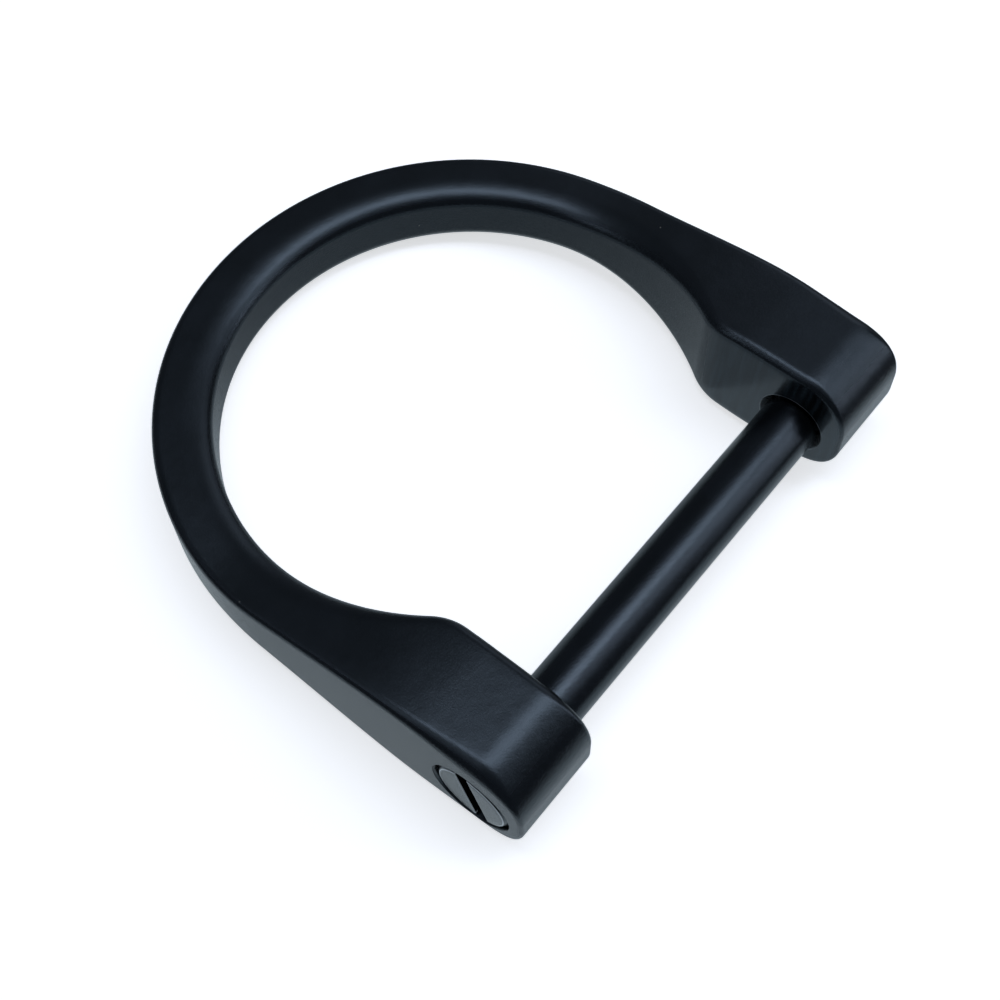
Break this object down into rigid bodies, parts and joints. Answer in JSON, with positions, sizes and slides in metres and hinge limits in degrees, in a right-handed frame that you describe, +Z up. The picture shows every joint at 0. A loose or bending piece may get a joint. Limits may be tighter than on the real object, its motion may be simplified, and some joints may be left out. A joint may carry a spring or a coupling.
{
  "type": "d ring",
  "caption": "Black cast D ring with thick ears, closed by a removable slotted screw that is the crossbar for a strap or a loop.",
  "frame": {"origin": "middle of the crossbar's axis, halfway between the two ears", "axes": "+X along the crossbar, from the screw's head to its thread; +Y towards the crown of the D; +Z up, out of the face it lies on"},
  "size_m": [0.0386, 0.0393, 0.0086],
  "materials": {
    "cast_black": "satin black coat over cast zinc alloy, fine blasted grain on the walls",
    "turned_black": "smooth black coat over turned steel, brighter bevel around the slotted head"
  },
  "bodies": {
    "bow": {"bow": "cast_black"},
    "screw": {"screw": "turned_black"}
  },
  "joints": [
    {"name": "pin_draw", "type": "slide", "parent": "bow", "child": "screw", "axis": [-1, 0, 0], "range_m": [0, 0.045]}
  ]
}
